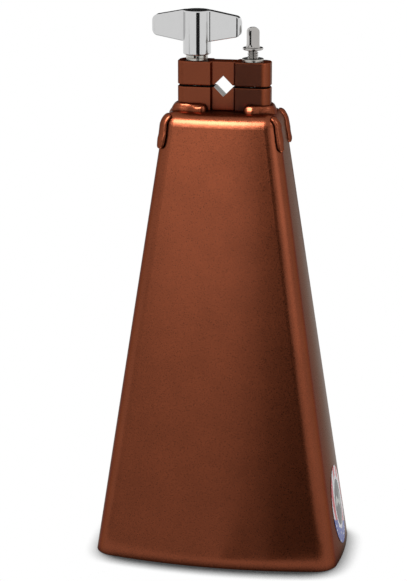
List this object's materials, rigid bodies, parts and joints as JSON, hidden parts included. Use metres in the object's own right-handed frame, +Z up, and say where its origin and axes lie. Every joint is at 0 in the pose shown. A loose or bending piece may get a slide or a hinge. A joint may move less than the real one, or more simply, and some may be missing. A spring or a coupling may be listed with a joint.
{
  "type": "timbale cowbell",
  "caption": "Large tapered steel cowbell standing mouth down, with a two-jaw rod clamp on top, closed by a wing bolt and a drum-key bolt.",
  "frame": {"origin": "centre of the mouth, on the plane that the rim stands on", "axes": "+Z up to the clamp, X along the wide way of the bell with the wing bolt on -X, front face towards -Y"},
  "size_m": [0.1502, 0.0864, 0.3253],
  "materials": {
    "copper_coat": "satin copper-brown metallic powder coat",
    "chrome": "polished chrome plate on die-cast zinc",
    "bright_chrome": "chrome-plated steel",
    "plated_steel": "nickel-plated steel",
    "label": "printed vinyl in red, white, blue and black"
  },
  "bodies": {
    "bell": {"bell_shell": "copper_coat", "left_seam_weld": "copper_coat", "right_seam_weld": "copper_coat", "corner_weld_front_left": "copper_coat", "corner_weld_front_right": "copper_coat", "corner_weld_rear_left": "copper_coat", "corner_weld_rear_right": "copper_coat", "left_jaw_weld": "copper_coat", "right_jaw_weld": "copper_coat", "lower_jaw": "copper_coat", "side_label": "label"},
    "clamp_jaw": {"upper_jaw": "copper_coat", "wing_flat_washer": "plated_steel", "wing_spring_washer": "plated_steel", "key_washer": "plated_steel"},
    "wing_bolt": {"wing_handle": "chrome", "wing_stud": "plated_steel"},
    "key_screw": {"key_bolt": "bright_chrome"}
  },
  "joints": [
    {"name": "jaw_lift", "type": "slide", "parent": "bell", "child": "clamp_jaw", "axis": [0, 0, 1], "range_m": [-0.0006, 0.007]},
    {"name": "wing_turn", "type": "hinge", "parent": "clamp_jaw", "child": "wing_bolt", "pos_m": [-0.0163, 0, 0.3], "axis": [0, 0, 1], "range_deg": [-170, 1984]},
    {"name": "key_turn", "type": "hinge", "parent": "clamp_jaw", "child": "key_screw", "pos_m": [0.0163, 0, 0.3], "axis": [0, 0, 1], "range_deg": [-170, 1984]}
  ],
  "couplings": [
    {"joint": "jaw_lift", "follows": "wing_turn", "m_per_rad": 0.00020213},
    {"joint": "key_turn", "follows": "wing_turn", "ratio": 1}
  ]
}
